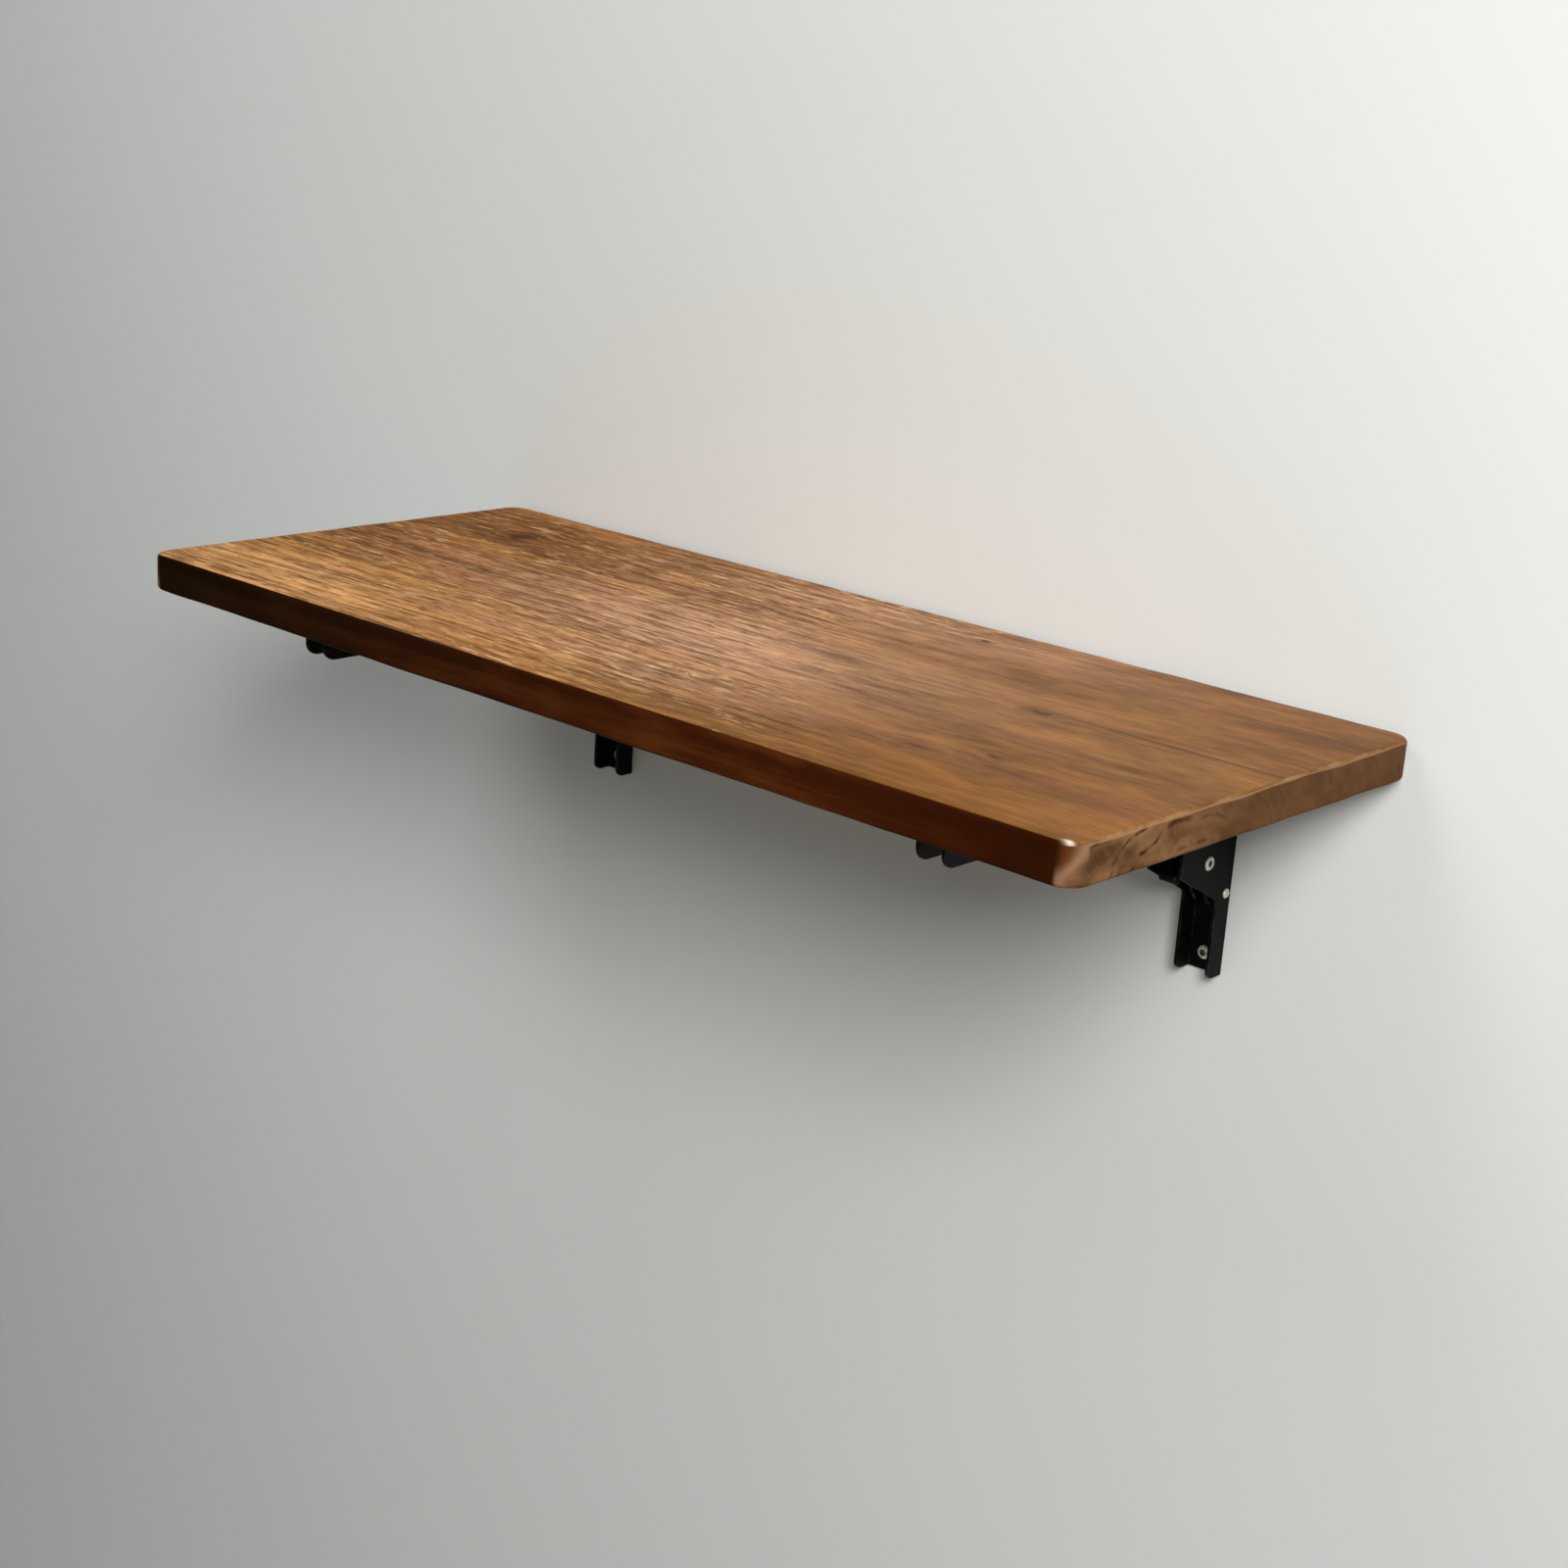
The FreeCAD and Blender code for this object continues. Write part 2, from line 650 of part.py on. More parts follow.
def make_screws(side, sign):
    wall_screws = []
    for hand, end in (("lower", -1), ("upper", 1)):
        piece = screw(f"{side}_{hand}_wall_screw", "wall_screw")
        piece.Placement = Placement(Vector(), Rotation(Vector(0, 0, 1), 90))
        place(piece, side_x(sign), "-sheet_thickness", f"{end} * screw_spacing / 2")
        wall_screws.append(piece)
    arm_screws = []
    for index in range(ARM_SCREWS_PER_ARM):
        piece = screw(f"{side}_arm_screw_{index}", "arm_screw")
        piece.Placement = Placement(Vector(), Rotation(Vector(0, 1, 0), -90))
        place(piece, side_x(sign), arm_screw_y(index), "leaf_height - sheet_thickness")
        arm_screws.append(piece)
    doc.recompute()
    group(f"{side}_wall_screws", wall_screws)
    group(f"{side}_arm_screws", arm_screws)


def check_and_write():
    """Stops if anything failed, then writes each node to its own file."""
    doc.recompute()
    for item in doc.Objects:
        if "Invalid" in item.State or "Error" in item.State:
            raise RuntimeError(f"{item.Name} is {item.State}")
    os.makedirs("parts", exist_ok=True)
    for piece in nodes:
        shape = piece.Shape
        if shape.isNull() or not shape.isValid() or not shape.Solids:
            raise RuntimeError(f"{piece.Label} has no valid solid")
    for piece in nodes:
        piece.Shape.exportStep(f"parts/{piece.Label}.step")
        print(f"{piece.Label}: {len(piece.Shape.Solids)} solid, {piece.Shape.Volume:.1f} mm3")


make_tabletop()
for side, sign in SIDES.items():
    make_wall_channel(side, sign)
    make_support_arm(side, sign)
    make_hinge(side, sign)
    make_lever(side, sign)
    make_lever_fittings(side, sign)
    make_spring(side, sign)
    make_screws(side, sign)
check_and_write()
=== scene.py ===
"""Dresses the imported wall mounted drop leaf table: stained board, black brackets, plated fasteners.

Lengths are in metres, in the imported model's frame: X to the right, Y into the wall, Z up.
Colours are linear.
"""

import json
import math
from collections import namedtuple

import bmesh
import bpy
from mathutils import Matrix, Vector, noise


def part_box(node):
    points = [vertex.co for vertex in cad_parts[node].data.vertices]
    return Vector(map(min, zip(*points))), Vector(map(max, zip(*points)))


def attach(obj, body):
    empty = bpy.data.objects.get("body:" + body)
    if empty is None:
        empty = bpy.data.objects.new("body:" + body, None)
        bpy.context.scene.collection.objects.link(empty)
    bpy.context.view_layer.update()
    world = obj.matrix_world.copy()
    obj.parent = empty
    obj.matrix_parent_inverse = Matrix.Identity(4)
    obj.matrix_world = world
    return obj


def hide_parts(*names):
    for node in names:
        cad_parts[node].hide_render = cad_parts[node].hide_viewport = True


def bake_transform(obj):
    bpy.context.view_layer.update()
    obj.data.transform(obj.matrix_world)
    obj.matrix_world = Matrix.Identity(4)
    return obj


# Noise with a pace of its own along each axis
Figure = namedtuple("Figure", "x y z detail roughness distortion", defaults=(0.55, 0.0))
# 0 below low, weight above high, smooth in between
Step = namedtuple("Step", "low high weight", defaults=(1.0,))
# A knot or mark on the top face: place, reach across the grain, stretch along it, darkness, push on the grain
Knot = namedtuple("Knot", "x y reach stretch shade push")
# A patch where the top is lighter or darker, some of them painted sheen and painted light: place, reach along
# and across the grain, strength, colour
Patch = namedtuple("Patch", "x y along across strength colour")
Coat = namedtuple("Coat", "name colour rub_colour rub")
Plate = namedtuple("Plate", "name pale dull roughness")
Lamp = namedtuple("Lamp", "name place target size energy")

# Camera of the photograph; its lens and sensor are in millimetres
CAMERA_PLACE = Vector((1.091293, -1.358225, 0.49719))
CAMERA_AZIMUTH = math.radians(41.282)
CAMERA_ELEVATION = math.radians(16.813)
CAMERA_ROLL = math.radians(3.894)
CAMERA_LENS = 58.73
CAMERA_SENSOR = 36.0

# Board: its round corners in plan, its eased edges and its slightly uneven sides
CORNER_RADIUS = 0.015
CORNER_STEPS = 20
EDGE_STEP = 0.004
EASE_RADIUS = 0.003
EASE_SPREAD = 0.45
EASE_STEPS = 6
EASE_WAVE = 28.0
EASE_TOP_SEED = 1.0
EASE_FOOT_SEED = 4.0
SUPPORT_INSET = 0.006
SIDE_RINGS = 3
SIDE_WOBBLE = 0.00025
SIDE_WAVE = 14.0
SIDE_SEED = 7.3

# Knots: the first is broad and lies across the grain, the last is only a soft shadow
KNOTS = (
    Knot(-0.305, -0.084, 0.026, 0.6, 0.85, 0.5),
    Knot(0.237, -0.273, 0.012, 1.8, 0.60, 0.9),
    Knot(0.275, -0.252, 0.008, 2.0, 0.80, 1.3),
    Knot(0.102, -0.038, 0.005, 1.6, 0.95, 1.2),
    Knot(0.235, -0.153, 0.008, 2.4, 0.80, 1.3),
    Knot(0.171, -0.094, 0.036, 1.8, 0.30, 0.3),
)
KNOT_BROWN = (0.066, 0.024, 0.007)
KNOT_WARP = Figure(55.0, 55.0, 0.0, 2.0)
KNOT_WARP_ALONG = 0.030
KNOT_WARP_ACROSS = 0.016
KNOT_RING_TURNS = 15.0
KNOT_RING_SHARE = 0.20
NOISE_MEAN = 0.5

# Colours of the top face: the stain, with patches of painted sheen and painted light
PINKISH_BROWN = (0.250, 0.103, 0.036)
GOLDEN_BROWN = (0.312, 0.137, 0.036)
# A pale golden stain, laid in the patch at the front left, where it is also a painted pool of light
PALE_STAIN_AND_PAINTED_LIGHT = (0.57, 0.290, 0.110)
# A dusty pale tone, laid in patches across the middle of the top as a painted sheen
PAINTED_SHEEN_TONE = (0.54, 0.315, 0.195)
DARK_STAIN = (0.180, 0.064, 0.011)
PATCHES = (
    Patch(-0.30, -0.31, 0.16, 0.05, 0.90, PALE_STAIN_AND_PAINTED_LIGHT),
    Patch(0.08, -0.28, 0.14, 0.05, 0.30, PAINTED_SHEEN_TONE),
    Patch(0.00, -0.18, 0.20, 0.085, 0.62, PAINTED_SHEEN_TONE),
    Patch(0.00, -0.04, 0.24, 0.04, 0.45, PAINTED_SHEEN_TONE),
    Patch(-0.32, -0.06, 0.13, 0.06, 0.60, DARK_STAIN),
    Patch(0.40, -0.06, 0.20, 0.14, 0.60, DARK_STAIN),
    Patch(0.30, -0.33, 0.20, 0.10, 0.65, DARK_STAIN),
)

# Grain of the top face: brushed and open on the left, smoother from where SMOOTHING ends along X
SWAY = Figure(2.6, 5.0, 1.0, 3.0)
SWAY_REACH = 0.030
BRUSH_DRIFT = 0.5
SMOOTHING = Step(0.02, 0.22)
BAND = Figure(1.4, 30.0, 30.0, 2.0)
STREAK = Figure(5.0, 150.0, 150.0, 5.0, 0.62)
FIBRE = Figure(30.0, 420.0, 420.0, 3.0, 0.62)
RIPPLE = Figure(50.0, 290.0, 290.0, 3.5, 0.62, 0.35)
STROKE = Figure(11.0, 170.0, 170.0, 2.0, 0.5, 0.4)
CLUSTER = Figure(9.0, 45.0, 45.0, 2.0)
CLOUD = Figure(9.0, 20.0, 1.0, 3.0)
MOTTLE = Figure(34.0, 95.0, 1.0, 4.0, 0.6)
BAND_STEP = Step(0.40, 0.60)
STREAK_LIGHT = Step(0.32, 0.68, 0.22)
BRUSHED_STREAK_LIGHT = Step(0.34, 0.66, 0.70)
FIBRE_LIGHT = Step(0.26, 0.74, 0.24)
BRUSHED_FIBRE_LIGHT = Step(0.32, 0.68, 0.20)
CLOUD_LIGHT = Step(0.30, 0.70, 0.40)
MOTTLE_LIGHT = Step(0.32, 0.68, 0.26)
BRUSHED_LIGHT = -0.07
BASE_LIGHT = 0.34

# Dark strokes, dark grooves and pale flecks: where they start and how strong they are, with BASE for
# everywhere and BRUSHED for what is added where the grain is brushed. The dark grooves are painted shade
# and the pale flecks are painted glints on the raised grain
STROKE_STEP = Step(0.58, 0.66)
STROKE_BRUSHED = 0.42
STROKE_BASE = 0.14
STROKE_BROWN = (0.120, 0.046, 0.013)
# Dark grooves: painted shade beside the raised grain
GROOVE_STEP = Step(0.36, 0.47)
GROOVE_BRUSHED = 0.44
GROOVE_BASE = 0.16
GROOVE_SHADE_BROWN = (0.100, 0.038, 0.010)
# Pale flecks: painted glints on the raised grain
PAINTED_GLINT_STEP = Step(0.55, 0.64)
PAINTED_GLINT_CLUSTER = Step(0.34, 0.66, 0.58)
PAINTED_GLINT_BASE = 0.28
PAINTED_GLINT_LIFT = 1.8
PAINTED_GLINT_OWN_COLOUR = 0.55
PAINTED_GLINT_COLOUR = (0.840, 0.580, 0.300)

# Glue line between two boards, on the right only
GLUE_LINE_Y = -0.1495
GLUE_LINE_ACROSS = Step(0.0, 0.0022)
GLUE_LINE_ALONG = Step(0.20, 0.32)
GLUE_LINE_STRENGTH = 0.75
GLUE_LINE_BROWN = (0.080, 0.033, 0.012)

# Long edges: near black at the left, redder to the right, dark near the right corner and near the top. The
# dark is painted shade over a darker stain, and the red to the right is a painted reflection
RED_REFLECTION_STEP = Step(-0.44, 0.26)
LEFT_DEEP = (0.0085, 0.0040, 0.0010)
RIGHT_DEEP = (0.044, 0.0096, 0.0022)
LEFT_PALE = (0.0165, 0.0075, 0.0020)
RIGHT_PALE = (0.122, 0.0325, 0.0078)
SMEAR = Figure(13.0, 0.0, 50.0, 3.0)
EDGE_STREAK = Step(0.35, 0.70, 0.5)
EDGE_SMEAR = Step(0.35, 0.68, 0.5)
EDGE_TOP = Step(0.090, 0.104, 0.42)
CORNER_DARKENING = Step(0.22, 0.38, 0.78)
CORNER_DARK = (0.022, 0.0046, 0.0010)

# Cut ends: growth rings round a centre, thin, broken and strongest towards the front
PITH_Y = -0.240
PITH_Z = 0.070
RING_FLATNESS = 1.6
RING_SPACING = 0.024
RING_WANDER = 0.045
RING_BEND = Figure(1.0, 24.0, 30.0, 2.0, 0.45)
RING_STEP = Step(0.74, 0.98)
RING_GAPS = Figure(1.0, 60.0, 60.0, 2.0)
RING_GAP_STEP = Step(0.36, 0.58)
RING_FRONT = 0.72
RING_BASE = 0.20
RING_BROWN = (0.040, 0.015, 0.005)
END_BLOTCH = Figure(1.0, 40.0, 70.0, 3.0)
END_BLOTCH_STEP = Step(0.34, 0.66, 0.55)
END_FINE = Figure(1.0, 300.0, 40.0, 3.0)
END_FINE_SHARE = 0.25
END_SLANT = 0.9
END_RING_SHARE = 0.10
END_BASE = 0.10
END_LIVELY = Step(0.18, 0.28)
END_DARK = (0.100, 0.046, 0.018)
END_PALE = (0.150, 0.070, 0.030)
LIVELY_DARK = (0.058, 0.024, 0.008)
LIVELY_PALE = (0.285, 0.146, 0.066)

# Which face a place is on, from its normal
ON_FRONT = Step(0.45, 0.62)
ON_END = Step(0.50, 0.80)
TURNING = Step(0.10, 0.55)
# Red on the rounded upright corners of the long edges: a painted glow of light catching the corner
CORNER_GLOW_PAINTED = (0.110, 0.030, 0.009)

# Wear: a slanting band of bare wood on the upright corners, and a pale rim along the ends that is wear and
# also a painted highlight along their top edge. A small pale spot at the front right corner of the top is a
# painted highlight, coloured as bare wood
WEAR_SLANT = Step(0.085, 0.1045, 0.75)
WEAR_START = 0.12
WEAR_SHARPNESS = 4.0
WEAR_STRENGTH = 0.65
ROUND_FROM = Step(0.08, 0.25)
ROUND_TO = Step(0.96, 0.995)
BARE_WOOD = (0.36, 0.20, 0.11)
RIM_STEP = Step(0.30, 0.50)
RUB = Figure(45.0, 45.0, 45.0, 2.0)
RUB_STEP = Step(0.40, 0.70, 0.8)
# Pale rim along the top edge of the ends: wear, and a painted highlight along that edge
RUB_AND_HIGHLIGHT_COLOUR = (0.36, 0.20, 0.09)
# A painted highlight at the front right corner of the top, coloured as bare wood
PAINTED_HIGHLIGHT_SPOT = Patch(0.3925, -0.3425, 0.0034, 0.0016, 0.9, (0.80, 0.70, 0.54))
PAINTED_HIGHLIGHT_FACING_UP = Step(0.10, 0.40)

# Relief and finish of the wood
RELIEF_BRUSHED = 1.0
RELIEF_STREAK = 0.30
RELIEF_RIPPLE = 0.15
RELIEF_SEAM = -0.4
RELIEF_KNOT = -0.3
RELIEF_STRENGTH = 0.60
RELIEF_DEPTH = 0.0012
WOOD_ROUGHNESS = 0.48
WOOD_ROUGHNESS_STREAK = 0.22
WOOD_SPECULAR = 0.012

# Powder coat; the pale colour of its edges is wear towards bare metal and also a painted highlight
COATS = {
    "black_steel": Coat("black_powder_coat", (0.0022, 0.0022, 0.0021), (0.30, 0.29, 0.28), 0.40),
    "lever_steel": Coat("worn_black_coat", (0.005, 0.005, 0.0052), (0.42, 0.41, 0.39), 0.8),
}
PEEL_SCALE = 900.0
PEEL_DETAIL = 2.0
PEEL_STRENGTH = 0.10
PEEL_DEPTH = 0.0002
DUST_SCALE = 35.0
DUST_DETAIL = 4.0
DUST_STEP = Step(0.35, 0.75)
DUST_LIFT = 1.9
COAT_EDGE_RADIUS = 0.0007
COAT_EDGE_SAMPLES = 6
COAT_EDGE_STEP = Step(0.80, 0.985)
COAT_WEAR_SCALE = 140.0
COAT_WEAR_DETAIL = 4.0
COAT_WEAR_STEP = Step(0.46, 0.62)
COAT_ROUGHNESS = 0.30
COAT_ROUGHNESS_DUST = 0.22
COAT_SPECULAR = 0.06

# Plated metal
PLATES = {
    "zinc": Plate("zinc_plate", (0.86, 0.83, 0.72), (0.66, 0.62, 0.50), 0.26),
    "spring_steel": Plate("drawn_wire", (0.46, 0.46, 0.46), (0.30, 0.29, 0.28), 0.22),
}
SHEEN_SCALE = 260.0
SHEEN_DETAIL = 4.0
SHEEN_ROUGHNESS = 0.25
SCRATCH_SCALE = 2400.0
SCRATCH_DETAIL = 3.0
SCRATCH_STRENGTH = 0.08
SCRATCH_DEPTH = 0.0001
FILM_SCALE = 120.0
FILM_DETAIL = 3.0
FILM_STEP = Step(0.42, 0.68)
PLATE_EDGE_RADIUS = 0.0003
PLATE_EDGE_SAMPLES = 4
PLATE_METALLIC = 0.6
# Painted shade in the recesses: darker and less metallic where ambient occlusion finds the surface hemmed in
RECESS_SHADE_REACH = 0.004
RECESS_SHADE_SAMPLES = 8
RECESS_SHADE_STEP = Step(0.62, 0.92)
RECESS_SHADE_COLOUR = (0.012, 0.011, 0.009)

# Stage
WALL_BEHIND = 0.0003
WALL_WIDTH = 9.0
WALL_TOP = 3.2
WALL_COLOUR = (0.86, 0.88, 0.85)
FLOOR_Z = -1.7
FLOOR_DEPTH = 5.0
FLOOR_COLOUR = (0.62, 0.62, 0.60)
FLOOR_GLOW = 0.7
STAGE_ROUGHNESS = 0.9
LAMPS = (
    Lamp("key_lamp", (1.65, -1.72, 1.2), (0.1, -0.05, -0.25), 0.8, 54.0),
    Lamp("top_lamp", (-0.5, -1.5, 2.0), (-0.3, -0.1, -0.1), 1.2, 14.0),
    Lamp("back_lamp", (-0.6, 1.9, 0.4), (0.0, 0.0, 0.0), 1.4, 22.0),
)
# World: colour, strength as light on surfaces, and strength as the camera and shiny surfaces see it
WORLD_COLOUR = (0.82, 0.83, 0.84)
WORLD_LIGHT = 0.065
WORLD_SEEN = 0.55

# Sockets of a mix node that mixes colours
MIX_FACTOR, MIX_A, MIX_B, MIX_RESULT = 0, 6, 7, 2


class Nodes:
    """Short ways to add and link the nodes of one material."""

    def __init__(self, name):
        self.material = bpy.data.materials.new(name)
        self.material.use_nodes = True
        self.tree = self.material.node_tree
        self.shader = self.tree.nodes["Principled BSDF"]
        self.output = self.tree.nodes["Material Output"]

    def feed(self, socket, value):
        if isinstance(value, bpy.types.NodeSocket):
            self.tree.links.new(value, socket)
        elif socket.type == "RGBA":
            socket.default_value = (*value, 1.0)
        else:
            socket.default_value = value

    def add(self, kind, inputs=None, **settings):
        made = self.tree.nodes.new(kind)
        for key, value in settings.items():
            setattr(made, key, value)
        for key, value in (inputs or {}).items():
            self.feed(made.inputs[key], value)
        return made

    def shade(self, **inputs):
        for key, value in inputs.items():
            self.feed(self.shader.inputs[key.replace("_", " ")], value)

    def math(self, operation, *values):
        return self.add("ShaderNodeMath", dict(enumerate(values)), operation=operation).outputs[0]

    def plus(self, first, second):
        return self.math("ADD", first, second)

    def minus(self, first, second):
        return self.math("SUBTRACT", first, second)

    def times(self, first, second):
        return self.math("MULTIPLY", first, second)

    def square(self, value):
        return self.times(value, value)

    def size(self, value):
        return self.math("ABSOLUTE", value)

    def linear(self, value, slope, base):
        return self.math("MULTIPLY_ADD", value, slope, base)

    def added(self, *values):
        result = values[0]
        for value in values[1:]:
            result = self.plus(result, value)
        return result

    def mix(self, factor, first, second):
        made = self.add("ShaderNodeMix", data_type="RGBA")
        self.feed(made.inputs[MIX_FACTOR], factor)
        self.feed(made.inputs[MIX_A], first)
        self.feed(made.inputs[MIX_B], second)
        return made.outputs[MIX_RESULT]

    def step(self, value, kind):
        inputs = {"Value": value, "From Min": kind.low, "From Max": kind.high, "To Max": kind.weight}
        return self.add("ShaderNodeMapRange", inputs, interpolation_type="SMOOTHSTEP").outputs[0]

    def noise(self, vector, scale, detail, roughness=0.55, distortion=0.0):
        inputs = {"Vector": vector, "Scale": scale, "Detail": detail}
        inputs |= {"Roughness": roughness, "Distortion": distortion}
        return self.add("ShaderNodeTexNoise", inputs).outputs[0]

    def figure(self, kind, x, y, z):
        parts = {0: self.times(x, kind.x), 1: self.times(y, kind.y), 2: self.times(z, kind.z)}
        place = self.add("ShaderNodeCombineXYZ", parts).outputs[0]
        return self.noise(place, 1.0, kind.detail, kind.roughness, kind.distortion)

    def split(self, vector):
        return self.add("ShaderNodeSeparateXYZ", {0: vector}).outputs

    def scaled(self, colour, factor):
        return self.add("ShaderNodeVectorMath", {0: colour, "Scale": factor}, operation="SCALE").outputs[0]

    def bump(self, height, strength, distance, normal=None):
        inputs = {"Strength": strength, "Distance": distance, "Height": height}
        if normal is not None:
            inputs["Normal"] = normal
        return self.add("ShaderNodeBump", inputs).outputs[0]


# Looks


def closeness(n, x, y, spot, along, across):
    """1 at a spot of the board, falling smoothly to 0 round it."""
    off_x = n.times(n.minus(x, spot.x), 1 / along)
    off_y = n.times(n.minus(y, spot.y), 1 / across)
    away = n.plus(n.square(off_x), n.square(off_y))
    return n.math("EXPONENT", n.times(away, -1.0))


def bend_round_knots(n, x, y):
    """The grain's own y, pushed aside by the knots, and how dark the knots are at a place."""
    bent = y
    dark = 0.0
    warp = n.minus(n.figure(KNOT_WARP, x, y, 0.0), NOISE_MEAN)
    warped_x = n.plus(x, n.times(warp, KNOT_WARP_ALONG))
    warped_y = n.plus(y, n.times(warp, KNOT_WARP_ACROSS))
    for knot in KNOTS:
        near = closeness(n, warped_x, warped_y, knot, knot.reach * knot.stretch, knot.reach)
        shift = n.times(n.minus(y, knot.y), near)
        bent = n.minus(bent, n.times(shift, knot.push))
        ring = n.times(n.math("SINE", n.times(near, KNOT_RING_TURNS)), KNOT_RING_SHARE)
        depth = n.plus(ring, n.times(near, 1 - KNOT_RING_SHARE))
        dark = n.math("MAXIMUM", n.times(n.times(near, depth), knot.shade), dark)
    return bent, dark


def top_colour(n, x, y, z, grain_y, streak, ripple, brushed, knot_dark):
    """Long bands of golden and pinkish brown: streaked where brushed, with painted glints on the raised grain
    and painted shade in its grooves there, mottled elsewhere; some patches are a painted sheen and painted
    light.
    """
    fibre = n.figure(FIBRE, x, grain_y, z)
    mottle = n.figure(MOTTLE, x, grain_y, z)
    tone = n.mix(n.step(n.figure(BAND, x, grain_y, z), BAND_STEP), PINKISH_BROWN, GOLDEN_BROWN)
    for patch in PATCHES:
        near = closeness(n, x, y, patch, patch.along, patch.across)
        tone = n.mix(n.times(near, patch.strength), tone, patch.colour)
    light = n.added(
        n.step(streak, STREAK_LIGHT),
        n.times(n.step(streak, BRUSHED_STREAK_LIGHT), brushed),
        n.step(fibre, FIBRE_LIGHT),
        n.times(n.step(fibre, BRUSHED_FIBRE_LIGHT), brushed),
        n.step(n.figure(CLOUD, x, y, z), CLOUD_LIGHT),
        n.times(n.step(mottle, MOTTLE_LIGHT), n.minus(1.0, brushed)),
        n.linear(brushed, BRUSHED_LIGHT, BASE_LIGHT),
    )
    colour = n.scaled(tone, light)

    stroke = n.step(n.figure(STROKE, x, grain_y, z), STROKE_STEP)
    stroke = n.times(stroke, n.linear(brushed, STROKE_BRUSHED, STROKE_BASE))
    colour = n.mix(stroke, colour, STROKE_BROWN)
    # Dark grooves where the grain is brushed: painted shade beside the raised grain
    groove_shade = n.minus(1.0, n.step(ripple, GROOVE_STEP))
    groove_shade = n.times(groove_shade, n.linear(brushed, GROOVE_BRUSHED, GROOVE_BASE))
    colour = n.mix(groove_shade, colour, GROOVE_SHADE_BROWN)
    # Pale flecks where the grain is brushed: painted glints on the raised grain
    busy = n.plus(n.step(n.figure(CLUSTER, x, grain_y, z), PAINTED_GLINT_CLUSTER), PAINTED_GLINT_BASE)
    painted_glint = n.times(n.step(ripple, PAINTED_GLINT_STEP), n.times(brushed, busy))
    colour = n.mix(painted_glint, colour, n.mix(PAINTED_GLINT_OWN_COLOUR, n.scaled(tone, PAINTED_GLINT_LIFT), PAINTED_GLINT_COLOUR))
    return n.mix(knot_dark, colour, KNOT_BROWN)


def end_colour(n, x, y, z):
    """Cut ends: mottled brown with a few thin, broken growth rings, strongest towards the front."""
    off_y = n.minus(y, PITH_Y)
    off_z = n.times(n.minus(z, PITH_Z), RING_FLATNESS)
    radius = n.math("SQRT", n.plus(n.square(off_y), n.square(off_z)))
    wander = n.times(n.figure(RING_BEND, x, y, z), RING_WANDER)
    ring = n.math("SINE", n.times(n.plus(radius, wander), math.tau / RING_SPACING))
    slant = n.plus(y, n.times(z, END_SLANT))
    pattern = n.added(
        n.linear(ring, END_RING_SHARE, END_BASE),
        n.step(n.figure(END_BLOTCH, x, y, z), END_BLOTCH_STEP),
        n.times(n.figure(END_FINE, x, slant, z), END_FINE_SHARE),
    )
    towards_front = n.step(n.times(y, -1.0), END_LIVELY)
    plain = n.mix(pattern, END_DARK, END_PALE)
    lively = n.mix(pattern, LIVELY_DARK, LIVELY_PALE)
    line = n.times(n.step(ring, RING_STEP), n.step(n.figure(RING_GAPS, x, y, z), RING_GAP_STEP))
    line = n.times(line, n.linear(towards_front, RING_FRONT, RING_BASE))
    return n.mix(line, n.mix(towards_front, plain, lively), RING_BROWN)


def front_colour(n, x, z, streak):
    """Long edges, dark in painted shade over a darker stain: near black at the left, with a painted red
    reflection to the right and low down.
    """
    red_reflection = n.step(x, RED_REFLECTION_STEP)
    deep = n.mix(red_reflection, LEFT_DEEP, RIGHT_DEEP)
    pale = n.mix(red_reflection, LEFT_PALE, RIGHT_PALE)
    smear = n.figure(SMEAR, x, 0.0, z)
    grain = n.plus(n.step(streak, EDGE_STREAK), n.step(smear, EDGE_SMEAR))
    colour = n.mix(n.minus(grain, n.step(z, EDGE_TOP)), deep, pale)
    return n.mix(n.step(x, CORNER_DARKENING), colour, CORNER_DARK)


def worn_corner(n, z, face_x):
    """Share of bare wood on the upright corners: a band that slants from the end to the front, downwards."""
    sideways = n.size(face_x)
    middle = n.plus(n.step(z, WEAR_SLANT), WEAR_START)
    off = n.times(n.minus(n.square(face_x), middle), WEAR_SHARPNESS)
    band = n.math("EXPONENT", n.times(n.square(off), -1.0))
    on_round = n.minus(n.step(sideways, ROUND_FROM), n.step(sideways, ROUND_TO))
    return n.times(n.times(band, on_round), WEAR_STRENGTH)


